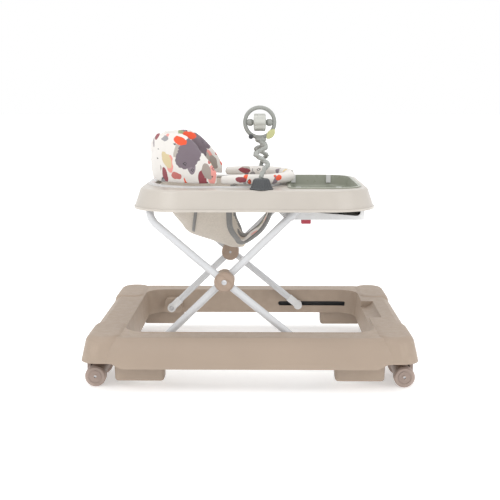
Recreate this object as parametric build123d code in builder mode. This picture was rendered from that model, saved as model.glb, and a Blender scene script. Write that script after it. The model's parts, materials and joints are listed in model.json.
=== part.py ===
from build123d import *
import os
from math import atan2, degrees, hypot

# Baby walker. Frame: +X towards the play tray (front), +Z up, millimetres,
# origin on the floor at the middle of the base. The right side is at -Y.

os.makedirs("parts", exist_ok=True)

# Base ring
BASE_LENGTH = 714
BASE_WIDTH = 600
SKIRT_Z = 52            # lower edge of the side rails
CORNER_SKIRT_Z = 62     # lower edge over the casters
BASE_TOP = 112
SHELL = 3.0             # wall of the base shell
WELL_LENGTH = 524       # opening of the base, at its lower edge
WELL_WIDTH = 444
WELL_DRAFT = 6          # how far each end wall leans outwards over the base's height

# Casters
SWIVEL_X = 333
SWIVEL_Y = 195
AXLE_X = 325
WHEEL_R = 22
WHEEL_W = 21
WHEEL_OUTER = 57        # outer wheel face, from the swivel axis
AXLE_R = 3
PIN_R = 4
RUNNING = 0.05          # radial clearance of a shaft in its bore

# Scissor frame: every pivot as (X, Z)
TUBE_R = 8
TUBE_WALL = 1.2
BASE_PIVOT = (-204, 72)
HUB = (-54, 218)
SLIDER = (118, 76)
TRAY_PIVOT = (-211, 386)
ARM_A_Y = 206           # outer tubes, with the slider pins at their lower ends
ARM_B_Y = 188           # inner tubes, tied by the cross bar at their upper ends
TRAY_PIVOT_Y = 172      # the outer tubes lean in to the tray above the hub
CAP_R = 9.5
HUB_R = 21.5
HUB_GAP = 0.6           # from the plane between the arms to each hub cover

# Tray
TRAY_BOTTOM = 367
TRAY_TOP = 411
TRAY_X = 8              # middle of the tray
TRAY_LENGTH = 520
TRAY_WIDTH = 450
TRAY_CORNER = 102
TRAY_WALL = 2.5
SEAT_REAR = -224
SEAT_FRONT = 66
SEAT_HALF = 150         # half width of the seat well
BOWL_REAR = 84
BOWL_FRONT = 238
BOWL_HALF = 168
BOWL_FLOOR = 385
HOUSING_REAR = 62
HOUSING_FRONT = 244
HOUSING_HALF = 172
HOUSING_BOTTOM = 345
HOUSING_TOP = 381
BAR_R = 7
BUTTON_X = 120
BUTTON_Y = -150          # the fold latch is on the right side of the housing

# Toy bar
CUP_X = 24
CUP_Y = 185
TOY_X = 20
TOY_Z = 546
HOOP_R = 34.5           # middle of the hoop's tube
HOOP_TUBE = 3.75


def save(part, name):
    part.label = name
    export_step(part, f"parts/{name}.step")


def save_sides(part, name):
    """Write a right-hand piece and its mirror image on the left."""
    save(part, f"{name}_right")
    save(part.mirror(Plane.XZ), f"{name}_left")


def save_corners(part, name):
    """Write a front right piece and its mirror images at the other corners."""
    rear = part.mirror(Plane.YZ)
    save(part, f"{name}_front_right")
    save(part.mirror(Plane.XZ), f"{name}_front_left")
    save(rear, f"{name}_rear_right")
    save(rear.mirror(Plane.XZ), f"{name}_rear_left")


def side_plane(point, y):
    """A plane across the object at (X, Z), facing -Y, with its x along +X."""
    return Plane(origin=(point[0], y, point[1]), x_dir=(1, 0, 0), z_dir=(0, -1, 0))


def along(start, end, distance):
    """The point at a distance from start towards end, both as (X, Z)."""
    length = hypot(end[0] - start[0], end[1] - start[1])
    return (start[0] + (end[0] - start[0]) * distance / length,
            start[1] + (end[1] - start[1]) * distance / length)


def rounded(length, width, radius, height, x=0):
    """A rounded rectangle at a height, centred on the object's long axis."""
    with BuildSketch(Plane.XY.offset(height)) as outline:
        with Locations((x, 0)):
            RectangleRounded(length, width, radius)
    return outline.sketch


def ring_body(inset, bottom):
    """The base's outer form, with every wall moved in by inset."""
    levels = ((bottom, 0, 96), (82, 12, 90), (100, 34, 80), (BASE_TOP - inset, 66, 64))
    with BuildPart() as body:
        for height, drop, radius in levels:
            length = BASE_LENGTH - drop - 2 * inset
            width = BASE_WIDTH - drop * 0.85 - 2 * inset
            add(rounded(length, width, radius - inset, height))
        loft()
    return body.part


def corner_lobes(inset, bottom):
    """The raised rounded lobe of the base over each caster."""
    with BuildPart() as lobes:
        for x in (-1, 1):
            for y in (-1, 1):
                with BuildPart(mode=Mode.PRIVATE) as lobe:
                    for height, shrink in ((bottom, 0), (BASE_TOP + 3 - inset, 22)):
                        with BuildSketch(Plane.XY.offset(height)):
                            with Locations((x * 303, y * 205)):
                                RectangleRounded(
                                    96 - shrink - 2 * inset, 178 - shrink - 2 * inset, 36 - inset)
                    loft()
                    fillet(lobe.faces().sort_by(Axis.Z)[-1].edges(), 16 - inset)
                add(lobe.part)
    return lobes.part


def well_body(grow):
    """The opening of the base, with every wall moved out by grow."""
    top = BASE_TOP + 12
    lean = 2 * WELL_DRAFT * (top - SKIRT_Z) / (BASE_TOP - SKIRT_Z)
    with BuildPart() as well:
        add(rounded(WELL_LENGTH + 2 * grow, WELL_WIDTH + 2 * grow, 46 + grow, SKIRT_Z - 4))
        add(rounded(WELL_LENGTH + lean + 2 * grow, WELL_WIDTH + 2 * grow, 46 + grow, top))
        loft()
    return well.part


# ---------------------------------------------------------------- base
TRACK_REAR = 68         # the slot that the slider pins run in
TRACK_FRONT = 242
TRACK_HALF = 5.8
GRIP_LENGTH = 170
WALL_Y = WELL_WIDTH / 2
outer_form = ring_body(0, SKIRT_Z)
outer_lobes = corner_lobes(0, CORNER_SKIRT_Z)
inner_form = ring_body(SHELL, SKIRT_Z - 6)
inner_lobes = corner_lobes(SHELL, SKIRT_Z - 6)
well_form = well_body(0)
well_skin = well_body(SHELL)

with BuildPart() as hollow:
    add(inner_form)
    add(inner_lobes)
    add(well_skin, mode=Mode.SUBTRACT)

with BuildPart() as sockets:
    with BuildSketch(Plane.XY.offset(CORNER_SKIRT_Z)):
        with GridLocations(2 * SWIVEL_X, 2 * SWIVEL_Y, 2, 2):
            Circle(7)
    extrude(amount=BASE_TOP + 2 - CORNER_SKIRT_Z)
    add(outer_form + outer_lobes, mode=Mode.INTERSECT)
    with BuildSketch(Plane.XY.offset(CORNER_SKIRT_Z)):
        with GridLocations(2 * SWIVEL_X, 2 * SWIVEL_Y, 2, 2):
            Circle(PIN_R + RUNNING)
    extrude(amount=24, mode=Mode.SUBTRACT)

with BuildPart() as base_shell:
    add(outer_form)
    add(outer_lobes)
    add(well_form, mode=Mode.SUBTRACT)
    add(hollow.part, mode=Mode.SUBTRACT)
    # Hand grip scooped into the inner top edge of the front rail, with its own skin.
    grip = (WELL_LENGTH / 2 + WELL_DRAFT + 6, 0, BASE_TOP + 10)
    with Locations(grip):
        Cylinder(24 + SHELL, GRIP_LENGTH + 6, rotation=(90, 0, 0))
        Cylinder(24, GRIP_LENGTH, rotation=(90, 0, 0), mode=Mode.SUBTRACT)
    with Locations((grip[0], 0, BASE_TOP + 20)):
        Box(80, GRIP_LENGTH + 16, 40, mode=Mode.SUBTRACT)
    add(well_form, mode=Mode.SUBTRACT)
    # The underside rises over the casters.
    with BuildSketch(Plane.XZ):
        for x in (-1, 1):
            with BuildLine():
                Polyline((x * 262, SKIRT_Z - 1), (x * 262, SKIRT_Z), (x * 283, CORNER_SKIRT_Z),
                         (x * 380, CORNER_SKIRT_Z), (x * 380, SKIRT_Z - 1), close=True)
            make_face()
    extrude(amount=BASE_WIDTH, both=True, mode=Mode.SUBTRACT)
    # Slots for the slider pins.
    slot_length = TRACK_FRONT - TRACK_REAR
    for y in (-1, 1):
        with BuildSketch(side_plane(((TRACK_REAR + TRACK_FRONT) / 2, SLIDER[1]), y * WALL_Y)):
            SlotOverall(slot_length, 2 * TRACK_HALF)
        extrude(amount=SHELL + 2, both=True, mode=Mode.SUBTRACT)
    # Sockets for the swivel pins, hanging from the shell's roof.
    add(sockets.part)
save(base_shell.part, "base_shell")

# Four hollow skid pads hang under the side rails.
PAD_X = 229.5
PAD_Y = 252
PAD_LENGTH = 105
PAD_WIDTH = 40
PAD_BOTTOM = 18
with BuildPart() as skid_pads:
    for x in (-1, 1):
        for y in (-1, 1):
            with BuildPart(mode=Mode.PRIVATE) as pad:
                with BuildSketch(Plane.XY.offset(SKIRT_Z)):
                    with Locations((x * PAD_X, y * PAD_Y)):
                        RectangleRounded(PAD_LENGTH, PAD_WIDTH, 9)
                extrude(amount=-(SKIRT_Z - PAD_BOTTOM), taper=2)
                fillet(pad.faces().sort_by(Axis.Z)[0].edges(), 6)
                with BuildSketch(Plane.XY.offset(SKIRT_Z)):
                    with Locations((x * PAD_X, y * PAD_Y)):
                        RectangleRounded(PAD_LENGTH - 12, PAD_WIDTH - 12, 5)
                extrude(amount=-20, mode=Mode.SUBTRACT)
                with BuildSketch(Plane.XY.offset(PAD_BOTTOM)):
                    with Locations((x * PAD_X, y * PAD_Y)):
                        Circle(6)
                extrude(amount=3, mode=Mode.SUBTRACT)
            add(pad.part)
save(skid_pads.part, "skid_pads")

# One screw holds each pad from below, sunk in a pocket.
with BuildPart() as pad_screws:
    for x in (-1, 1):
        for y in (-1, 1):
            with BuildSketch(Plane.XY.offset(PAD_BOTTOM + 3)):
                with Locations((x * PAD_X, y * PAD_Y)):
                    Circle(4.5)
            extrude(amount=-2)
save(pad_screws.part, "pad_screws")

# Track behind each slot, with a floor and roof for the pin.
TRACK_DEPTH = 15
with BuildPart() as slide_track:
    track_mid = ((TRACK_REAR + TRACK_FRONT) / 2, SLIDER[1])
    with BuildSketch(side_plane(track_mid, -WALL_Y - SHELL)):
        SlotOverall(slot_length + 8, 2 * TRACK_HALF + 8)
    extrude(amount=TRACK_DEPTH)
    with BuildSketch(side_plane(track_mid, -WALL_Y - SHELL)):
        SlotOverall(slot_length, 2 * TRACK_HALF)
    extrude(amount=TRACK_DEPTH - 2, mode=Mode.SUBTRACT)
save_sides(slide_track.part, "slide_track")

# Bracket on the inner wall that carries the inner tube's lower end.
BRACKET_FACE = ARM_B_Y + CAP_R + 0.5
with BuildPart() as base_bracket:
    with BuildSketch(side_plane((BASE_PIVOT[0] + 3, BASE_PIVOT[1] + 2), -BRACKET_FACE)):
        RectangleRounded(44, 38, 12)
    extrude(amount=WALL_Y - BRACKET_FACE + 4)
    add(well_form, mode=Mode.INTERSECT)
    with BuildSketch(side_plane(BASE_PIVOT, -BRACKET_FACE)):
        Circle(PIN_R)
    extrude(amount=8, mode=Mode.SUBTRACT)
save_sides(base_bracket.part, "base_bracket")

with BuildPart() as base_pin:
    with BuildSketch(side_plane(BASE_PIVOT, -(ARM_B_Y - CAP_R - 2.6))):
        Circle(6)
    extrude(amount=2.4)
    with BuildSketch(side_plane(BASE_PIVOT, -(ARM_B_Y - CAP_R - 2.6))):
        Circle(PIN_R)
    extrude(amount=BRACKET_FACE + 8 - (ARM_B_Y - CAP_R - 2.6))
    with BuildSketch(side_plane(BASE_PIVOT, -(ARM_B_Y - CAP_R - 2.6))):
        Rectangle(7, 1.4)
        Rectangle(1.4, 7)
    extrude(amount=1.2, mode=Mode.SUBTRACT)
save_sides(base_pin.part, "base_pivot_pin")

# ------------------------------------------------------------- casters
HUB_HALF = WHEEL_OUTER - WHEEL_W - 1       # half length of the yoke between the wheels
YOKE_TOP = 57
axle_side = Plane(origin=(AXLE_X, -SWIVEL_Y, WHEEL_R), x_dir=(1, 0, 0), z_dir=(0, -1, 0))
with BuildPart() as yoke:
    # Outer leg and top plate, as one bent plate between the wheels.
    with BuildSketch(Plane(origin=(0, -SWIVEL_Y, 0), x_dir=(1, 0, 0), z_dir=(0, -1, 0))):
        with BuildLine():
            Polyline((308, YOKE_TOP), (349, YOKE_TOP), (349, 16), (AXLE_X, 15),
                     (AXLE_X, 29), (342, 29), (342, YOKE_TOP - 6), (308, YOKE_TOP - 6), close=True)
        make_face()
    extrude(amount=14, both=True)
    # Light half-pipe guard over the axle.
    with BuildSketch(axle_side):
        Circle(19)
        Circle(16.5, mode=Mode.SUBTRACT)
        with Locations((0, -19)):
            Rectangle(40, 38, mode=Mode.SUBTRACT)
    extrude(amount=HUB_HALF, both=True)
    # Axle housing.
    with BuildSketch(axle_side):
        Circle(7)
    extrude(amount=HUB_HALF, both=True)
    # Central web from the housing to the top plate.
    with BuildSketch(axle_side):
        with Locations((0, 15)):
            Rectangle(30, 34)
    extrude(amount=3, both=True)
    # Boss and swivel pin.
    with BuildSketch(Plane.XY.offset(YOKE_TOP - 8)):
        with Locations((SWIVEL_X, -SWIVEL_Y)):
            Circle(10)
    extrude(amount=CORNER_SKIRT_Z - 0.4 - YOKE_TOP + 8)
    with BuildSketch(Plane.XY.offset(YOKE_TOP)):
        with Locations((SWIVEL_X, -SWIVEL_Y)):
            Circle(PIN_R)
    extrude(amount=CORNER_SKIRT_Z + 22 - YOKE_TOP)
    with BuildSketch(axle_side):
        Circle(AXLE_R + RUNNING)
    extrude(amount=HUB_HALF + 1, both=True, mode=Mode.SUBTRACT)
save_corners(yoke.part, "caster_yoke")

with BuildPart() as axle:
    with BuildSketch(axle_side):
        Circle(AXLE_R)
    extrude(amount=WHEEL_OUTER - 2, both=True)
save_corners(axle.part, "caster_axle")

with BuildPart() as wheels:
    for side in (-1, 1):
        with BuildPart(mode=Mode.PRIVATE) as wheel:
            inner = side_plane((AXLE_X, WHEEL_R), -SWIVEL_Y + side * (WHEEL_OUTER - WHEEL_W / 2))
            with BuildSketch(inner):
                Circle(WHEEL_R)
            extrude(amount=WHEEL_W / 2, both=True)
            chamfer(wheel.edges().filter_by(GeomType.CIRCLE), 3)
            with BuildSketch(inner):
                Circle(AXLE_R)
            extrude(amount=WHEEL_W, both=True, mode=Mode.SUBTRACT)
            # Ring groove and hub cap on the outer face.
            face = side_plane((AXLE_X, WHEEL_R), -SWIVEL_Y + side * WHEEL_OUTER)
            with BuildSketch(face):
                Circle(14)
                Circle(12.5, mode=Mode.SUBTRACT)
            extrude(amount=1, both=True, mode=Mode.SUBTRACT)
            with BuildSketch(face):
                Circle(5)
                Circle(AXLE_R, mode=Mode.SUBTRACT)
            extrude(amount=1, both=True)
        add(wheel.part)
save_corners(wheels.part, "caster_wheels")

# -------------------------------------------------------- scissor frame


def tube(path, bend=None):
    """A round steel tube along a path of points."""
    with BuildPart() as body:
        with BuildLine() as centre:
            if bend:
                FilletPolyline(*path, radius=bend)
            else:
                Polyline(*path)
        with BuildSketch(Plane(origin=centre.line @ 0, z_dir=centre.line % 0)):
            Circle(TUBE_R)
            Circle(TUBE_R - TUBE_WALL, mode=Mode.SUBTRACT)
        sweep()
    return body.part


def end_cap(pivot, towards, y, bore=None, length=30):
    """White plastic cap over a tube's end, rounded about its pivot."""
    direction = Vector(towards[0] - pivot[0], 0, towards[1] - pivot[1])
    with BuildPart() as cap:
        with BuildSketch(side_plane(pivot, -y)):
            Circle(CAP_R + 1)
        extrude(amount=CAP_R - 0.7, both=True)
        with BuildSketch(Plane(origin=(pivot[0], -y, pivot[1]), z_dir=direction)):
            Circle(CAP_R)
        extrude(amount=length)
        with BuildSketch(Plane(origin=(pivot[0], -y, pivot[1]), z_dir=direction).offset(TUBE_START)):
            Circle(TUBE_R)
        extrude(amount=length, mode=Mode.SUBTRACT)
        if bore:
            with BuildSketch(side_plane(pivot, -y)):
                Circle(bore)
            extrude(amount=CAP_R + 1, both=True, mode=Mode.SUBTRACT)
    return cap.part


def hub_cover(low, high, arm_y, towards, bore):
    """Round cover on one tube at the crossing, with a ridge along the tube."""
    angle = degrees(atan2(towards[1] - HUB[1], towards[0] - HUB[0]))
    outer = arm_y > (ARM_A_Y + ARM_B_Y) / 2
    with BuildPart() as cover:
        with BuildSketch(side_plane(HUB, -low)):
            Circle(HUB_R)
        extrude(amount=high - low)
        shown = cover.faces().sort_by(Axis.Y)[0 if outer else -1]
        chamfer(shown.edges(), 2.5)
        with BuildSketch(side_plane(HUB, -(high if outer else low))):
            SlotOverall(36, 15, rotation=angle)
        extrude(amount=1.4 if outer else -1.4)
        direction = Vector(towards[0] - HUB[0], 0, towards[1] - HUB[1])
        with BuildSketch(Plane(origin=(HUB[0], -arm_y, HUB[1]), z_dir=direction)):
            Circle(TUBE_R)
        extrude(amount=HUB_R + 5, both=True, mode=Mode.SUBTRACT)
        with BuildSketch(side_plane(HUB, -arm_y)):
            Circle(bore)
        extrude(amount=30, both=True, mode=Mode.SUBTRACT)
    return cover.part


def drilled(body, point, y, bore):
    """A tube with a cross hole for a bolt."""
    with BuildPart() as result:
        add(body)
        with BuildSketch(side_plane(point, -y)):
            Circle(bore)
        extrude(amount=TUBE_R + 2, both=True, mode=Mode.SUBTRACT)
    return result.part


TUBE_START = 12          # from a pivot to the cut end of its tube
BAR = along(BASE_PIVOT, HUB, 430.1)
ARM_A_BEND = along(SLIDER, HUB, 429.3)
BOLT_R = 3
BETWEEN = (ARM_A_Y + ARM_B_Y) / 2

# Inner tubes (B): fixed pivot low at the rear, cross bar high at the front.
b_ends = (along(BASE_PIVOT, BAR, TUBE_START), along(BAR, BASE_PIVOT, TUBE_START))
tube_b = tube([Vector(x, -ARM_B_Y, z) for x, z in b_ends])
save_sides(drilled(tube_b, HUB, ARM_B_Y, BOLT_R), "inner_tube")
save_sides(end_cap(BASE_PIVOT, BAR, ARM_B_Y, PIN_R + RUNNING), "inner_tube_cap")
save_sides(hub_cover(ARM_B_Y - 12, BETWEEN - HUB_GAP, ARM_B_Y, BAR, BOLT_R), "hub_cover_inner")

HEAD_FACE = ARM_A_Y + 13.8
with BuildPart() as hub_bolt:
    with BuildSketch(side_plane(HUB, -(ARM_B_Y - 15))):
        Circle(BOLT_R)
    extrude(amount=HEAD_FACE - ARM_B_Y + 15)
    with BuildSketch(side_plane(HUB, -HEAD_FACE)):
        Circle(5.5)
    extrude(amount=1.4)
    with BuildSketch(side_plane(HUB, -(HEAD_FACE + 1.4))):
        Rectangle(6, 1.3)
        Rectangle(1.3, 6)
    extrude(amount=-1, mode=Mode.SUBTRACT)
    with BuildSketch(side_plane(HUB, -(BETWEEN - HUB_GAP + 0.1))):
        Circle(7)
        Circle(BOLT_R, mode=Mode.SUBTRACT)
    extrude(amount=2 * HUB_GAP - 0.3)
save_sides(hub_bolt.part, "hub_bolt")

with BuildPart() as cross_bar:
    with BuildSketch(side_plane(BAR, 0)):
        Circle(BAR_R)
        Circle(BAR_R - 1.5, mode=Mode.SUBTRACT)
    extrude(amount=ARM_B_Y - CAP_R + 0.5, both=True)
    for side in (-1, 1):
        elbow = Plane(origin=(BAR[0], side * ARM_B_Y, BAR[1]),
                      z_dir=(BASE_PIVOT[0] - BAR[0], 0, BASE_PIVOT[1] - BAR[1]))
        with BuildSketch(elbow):
            Circle(CAP_R)
        extrude(amount=30)
        with Locations((BAR[0], side * ARM_B_Y, BAR[1])):
            Sphere(CAP_R)
        with BuildSketch(elbow.offset(TUBE_START)):
            Circle(TUBE_R)
        extrude(amount=30, mode=Mode.SUBTRACT)
save(cross_bar.part, "cross_bar")

# Outer tubes (A): slider pin low at the front, bent up to the tray at the rear.
a_low = along(SLIDER, HUB, TUBE_START)
a_lean = along(SLIDER, HUB, 290)
a_bend = Vector(ARM_A_BEND[0], -190, ARM_A_BEND[1])
a_pivot = Vector(TRAY_PIVOT[0], -TRAY_PIVOT_Y, TRAY_PIVOT[1])
a_down = (a_bend - a_pivot).normalized()
tube_a = tube([Vector(a_low[0], -ARM_A_Y, a_low[1]), Vector(a_lean[0], -ARM_A_Y, a_lean[1]), a_bend,
               a_pivot + a_down * 9], bend=40)
save_sides(drilled(tube_a, HUB, ARM_A_Y, BOLT_R + RUNNING), "outer_tube")
save_sides(hub_cover(BETWEEN + HUB_GAP, ARM_A_Y + 12, ARM_A_Y, SLIDER, BOLT_R + RUNNING),
           "hub_cover_outer")

with BuildPart() as slider:
    add(end_cap(SLIDER, HUB, ARM_A_Y, bore=3))
    with BuildSketch(side_plane(SLIDER, -(ARM_A_Y - CAP_R - 1.2))):
        Circle(4.5)
    extrude(amount=WALL_Y + SHELL + TRACK_DEPTH - 4 - ARM_A_Y + CAP_R + 1.2)
save_sides(slider.part, "slider_cap")

with BuildPart() as upper_fitting:
    with BuildSketch(side_plane(TRAY_PIVOT, -TRAY_PIVOT_Y)):
        Circle(CAP_R)
    extrude(amount=CAP_R - 1.5, both=True)
    neck = Plane(origin=a_pivot, z_dir=a_down)
    with BuildSketch(neck):
        Circle(CAP_R - 0.5)
    extrude(amount=13.5)
    with BuildSketch(neck.offset(9)):
        Circle(TUBE_R)
    extrude(amount=20, mode=Mode.SUBTRACT)
    with BuildSketch(side_plane(TRAY_PIVOT, -TRAY_PIVOT_Y)):
        Circle(PIN_R + RUNNING)
    extrude(amount=12, both=True, mode=Mode.SUBTRACT)
save_sides(upper_fitting.part, "upper_fitting")

# ---------------------------------------------------------------- tray


def tray_body(inset, bottom, top):
    """The tray's flared oval form, with every wall moved in by inset."""
    with BuildPart() as body:
        for height, flare in ((bottom, 0), (top, 30)):
            add(rounded(TRAY_LENGTH - flare - 2 * inset, TRAY_WIDTH - flare - 2 * inset,
                        TRAY_CORNER - flare / 2 - inset, height, TRAY_X))
        loft()
    return body.part


def bowl_outline(inset, height):
    """The play tray's outline, tighter at its two rear corners."""
    rear, front, half = BOWL_REAR + inset, BOWL_FRONT - inset, BOWL_HALF - inset
    with BuildSketch(Plane.XY.offset(height)) as outline:
        with BuildLine():
            FilletPolyline((rear, -half), (front, -half), (front, half), (rear, half),
                           radius=(18 - inset, 56 - inset, 56 - inset, 18 - inset), close=True)
        make_face()
    return outline.sketch


with BuildPart() as tray_shell:
    add(tray_body(0, TRAY_BOTTOM, TRAY_TOP))
    fillet(tray_shell.faces().sort_by(Axis.Z)[-1].edges(), 7)
    # Out-turned lip along the lower edge.
    with BuildSketch(Plane.XY.offset(TRAY_BOTTOM)):
        with Locations((TRAY_X, 0)):
            RectangleRounded(TRAY_LENGTH, TRAY_WIDTH, TRAY_CORNER)
    extrude(amount=5)
    add(tray_body(TRAY_WALL, TRAY_BOTTOM - 1, TRAY_TOP - TRAY_WALL), mode=Mode.SUBTRACT)
    # Seat well.
    with BuildSketch(Plane.XY.offset(TRAY_TOP - 10)):
        with Locations(((SEAT_REAR + SEAT_FRONT) / 2, 0)):
            RectangleRounded(SEAT_FRONT - SEAT_REAR, 2 * SEAT_HALF, 110)
    extrude(amount=20, mode=Mode.SUBTRACT)
    # Opening that the play tray drops into.
    with BuildSketch(Plane.XY.offset(TRAY_TOP - 10)):
        add(bowl_outline(0, TRAY_TOP - 10))
    extrude(amount=20, mode=Mode.SUBTRACT)
save(tray_shell.part, "tray_shell")

with BuildPart() as play_tray:
    add(bowl_outline(0.3, TRAY_TOP + 1.6))
    add(bowl_outline(5.3, BOWL_FLOOR - 2.5))
    loft()
    # Rolled rim that rests on the tray's deck.
    add(bowl_outline(-3, TRAY_TOP))
    extrude(amount=2.4)
    with BuildPart(mode=Mode.PRIVATE) as bowl:
        add(bowl_outline(3, TRAY_TOP + 6))
        add(bowl_outline(8.3, BOWL_FLOOR))
        loft()
        fillet(bowl.faces().sort_by(Axis.Z)[0].edges(), 8)
    add(bowl.part, mode=Mode.SUBTRACT)
save(play_tray.part, "play_tray")

# White clips that hold the play tray, on the long walls of its bowl.
with BuildPart() as tray_clips:
    for x in (103, 189):
        for y in (-1, 1):
            with Locations((x, y * (BOWL_HALF - 9.8), TRAY_TOP - 6.5)):
                Box(11, 3, 19)
save(tray_clips.part, "tray_clips")

# Housing under the play tray, with the sloping track of the cross bar.
BAR_TRACK_REAR = 74
BAR_TRACK_FRONT = 235
BAR_TRACK_Z = 367.9      # middle of the track's height, half way along
BAR_TRACK_SLOPE = -4.7   # degrees; follows the bar's path as the frame folds
BAR_PLAY = 1.5           # above and below the bar
with BuildPart() as housing:
    with BuildSketch(Plane.XZ):
        with BuildLine():
            Polyline((HOUSING_REAR, HOUSING_TOP), (HOUSING_FRONT, HOUSING_TOP),
                     (HOUSING_FRONT, HOUSING_BOTTOM), (HOUSING_REAR + 14, HOUSING_BOTTOM),
                     (HOUSING_REAR, HOUSING_BOTTOM + 14), close=True)
        make_face()
    extrude(amount=HOUSING_HALF, both=True)
    fillet(housing.edges().filter_by(Axis.Z), 10)
    offset(amount=-2.5, openings=housing.faces().sort_by(Axis.Z)[-1])
    # Slots in both side walls.
    with BuildSketch(side_plane(((BAR_TRACK_REAR + BAR_TRACK_FRONT) / 2, BAR_TRACK_Z), 0)):
        SlotOverall(BAR_TRACK_FRONT - BAR_TRACK_REAR, 2 * (BAR_R + BAR_PLAY),
                    rotation=BAR_TRACK_SLOPE)
    extrude(amount=HOUSING_HALF + 5, both=True, mode=Mode.SUBTRACT)
    # Hole for the latch button.
    with BuildSketch(Plane.XY.offset(HOUSING_BOTTOM - 1)):
        with Locations((BUTTON_X, BUTTON_Y)):
            Rectangle(22, 16)
    extrude(amount=6, mode=Mode.SUBTRACT)
    # Bridge that the latch spring pushes against.
    for y in (-1, 1):
        with Locations((BUTTON_X, BUTTON_Y + y * 14, (HOUSING_BOTTOM + 360) / 2 + 0.75)):
            Box(12, 3, 360 - HOUSING_BOTTOM - 1.5)
    with Locations((BUTTON_X, BUTTON_Y, 359)):
        Box(12, 31, 2)
save(housing.part, "track_housing")

with BuildPart() as latch_button:
    with BuildSketch(Plane.XY.offset(HOUSING_BOTTOM - 11)):
        with Locations((BUTTON_X, BUTTON_Y)):
            RectangleRounded(21, 15, 3)
    extrude(amount=13.6)
    fillet(latch_button.faces().sort_by(Axis.Z)[0].edges(), 2)
    with BuildSketch(Plane.XY.offset(HOUSING_BOTTOM + 2.7)):
        with Locations((BUTTON_X, BUTTON_Y)):
            Rectangle(28, 20)
    extrude(amount=1.5)
    with BuildSketch(Plane.XY.offset(HOUSING_BOTTOM + 2.5)):
        with Locations((BUTTON_X, BUTTON_Y)):
            Rectangle(20, 14)
    extrude(amount=0.4)
save(latch_button.part, "latch_button")

with BuildPart() as latch_spring:
    spring_low = HOUSING_BOTTOM + 4.3
    with BuildSketch(Plane.XY.offset(spring_low)):
        with Locations((BUTTON_X, BUTTON_Y)):
            Circle(4)
            Circle(3, mode=Mode.SUBTRACT)
    extrude(amount=358 - spring_low - 0.1)
save(latch_spring.part, "latch_spring")

# Bracket and pin under the tray's rear that carry the outer tube's top end.
PLATE_Y = TRAY_PIVOT_Y - CAP_R - 7
with BuildPart() as tray_bracket:
    plate_mid = (TRAY_PIVOT[1] - 10 + TRAY_TOP - TRAY_WALL) / 2
    with BuildSketch(side_plane((TRAY_PIVOT[0], plate_mid), -PLATE_Y)):
        Rectangle(22, TRAY_TOP - TRAY_WALL - TRAY_PIVOT[1] + 10)
    extrude(amount=7)
    with BuildSketch(side_plane(TRAY_PIVOT, -PLATE_Y)):
        Circle(PIN_R)
    extrude(amount=2 * CAP_R + 6)
save_sides(tray_bracket.part, "tray_bracket")

# ---------------------------------------------------------------- seat
SEAT_X = (SEAT_REAR + SEAT_FRONT) / 2
SEAT_L = SEAT_FRONT - SEAT_REAR
with BuildPart() as seat_ring:
    with BuildSketch(Plane.XY.offset(TRAY_TOP)):
        with Locations((SEAT_X, 0)):
            RectangleRounded(SEAT_L + 12, 2 * SEAT_HALF + 12, 116)
            RectangleRounded(SEAT_L - 14, 2 * SEAT_HALF - 14, 103, mode=Mode.SUBTRACT)
    extrude(amount=3)
save(seat_ring.part, "seat_ring")

PAD_SEAT_Z = TRAY_TOP + 3.4
BACK_FRONT = -66         # where the backrest's wings end and the collar begins
with BuildPart() as backrest:
    with BuildSketch(Plane.XZ):
        with BuildLine():
            Line((BACK_FRONT, PAD_SEAT_Z), (SEAT_REAR, PAD_SEAT_Z))
            Line((SEAT_REAR, PAD_SEAT_Z), (SEAT_REAR, 508))
            Spline((SEAT_REAR, 508), (-204, 528), (-156, 522), (-112, 500), (-82, 464),
                   (BACK_FRONT, 432), tangents=((0, 1), (0.35, -1)))
            Line((BACK_FRONT, 432), (BACK_FRONT, PAD_SEAT_Z))
        make_face()
    extrude(amount=200, both=True)
    with BuildSketch(Plane.XY.offset(PAD_SEAT_Z)):
        with Locations((SEAT_X, 0)):
            RectangleRounded(SEAT_L, 2 * SEAT_HALF, 120)
            RectangleRounded(SEAT_L - 56, 2 * SEAT_HALF - 56, 96, mode=Mode.SUBTRACT)
    extrude(amount=140, mode=Mode.INTERSECT)
save(backrest.part, "backrest_pad")

with BuildPart() as collar:
    with BuildSketch(Plane.XY.offset(PAD_SEAT_Z)):
        with Locations((SEAT_X + 18, 0)):
            RectangleRounded(SEAT_L + 36, 2 * SEAT_HALF + 12, 130)
            RectangleRounded(SEAT_L - 34, 2 * SEAT_HALF - 58, 95, mode=Mode.SUBTRACT)
    extrude(amount=25)
    with Locations((BACK_FRONT + 0.6 - 300, 0, PAD_SEAT_Z + 20)):
        Box(600, 500, 80, mode=Mode.SUBTRACT)
save(collar.part, "collar_pad")


def pouch_body(inset, top):
    """The hanging seat, as lofted outlines from the tray down to the crotch."""
    levels = ((top, -208, 56, 144, 100), (365, -186, 42, 138, 88), (325, -158, 25, 122, 74),
              (300, -132, 9, 100, 56), (284, -94, -4, 76, 36), (267, -46, -16, 54, 13))
    with BuildPart() as body:
        for height, rear, front, half, radius in levels:
            z = height + (inset if height == levels[-1][0] else 0)
            add(rounded(front - rear - 2 * inset, 2 * (half - inset), radius - inset, z,
                        (front + rear) / 2))
        loft()
    return body.part


STRAP_HALF = 46          # half width of the strap between the legs
with BuildPart() as pouch:
    add(pouch_body(0, TRAY_TOP - 4))
    add(pouch_body(3, TRAY_TOP - 3), mode=Mode.SUBTRACT)
    for side in (-1, 1):
        with BuildSketch(side_plane((0, 0), side * STRAP_HALF)):
            with BuildLine():
                FilletPolyline((-46, 396), (90, 396), (90, 250), (-22, 250), (-24, 284),
                               (-46, 322), radius=12, close=True)
            make_face()
        extrude(amount=-side * 150, mode=Mode.SUBTRACT)
save(pouch.part, "seat_pouch")

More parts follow.
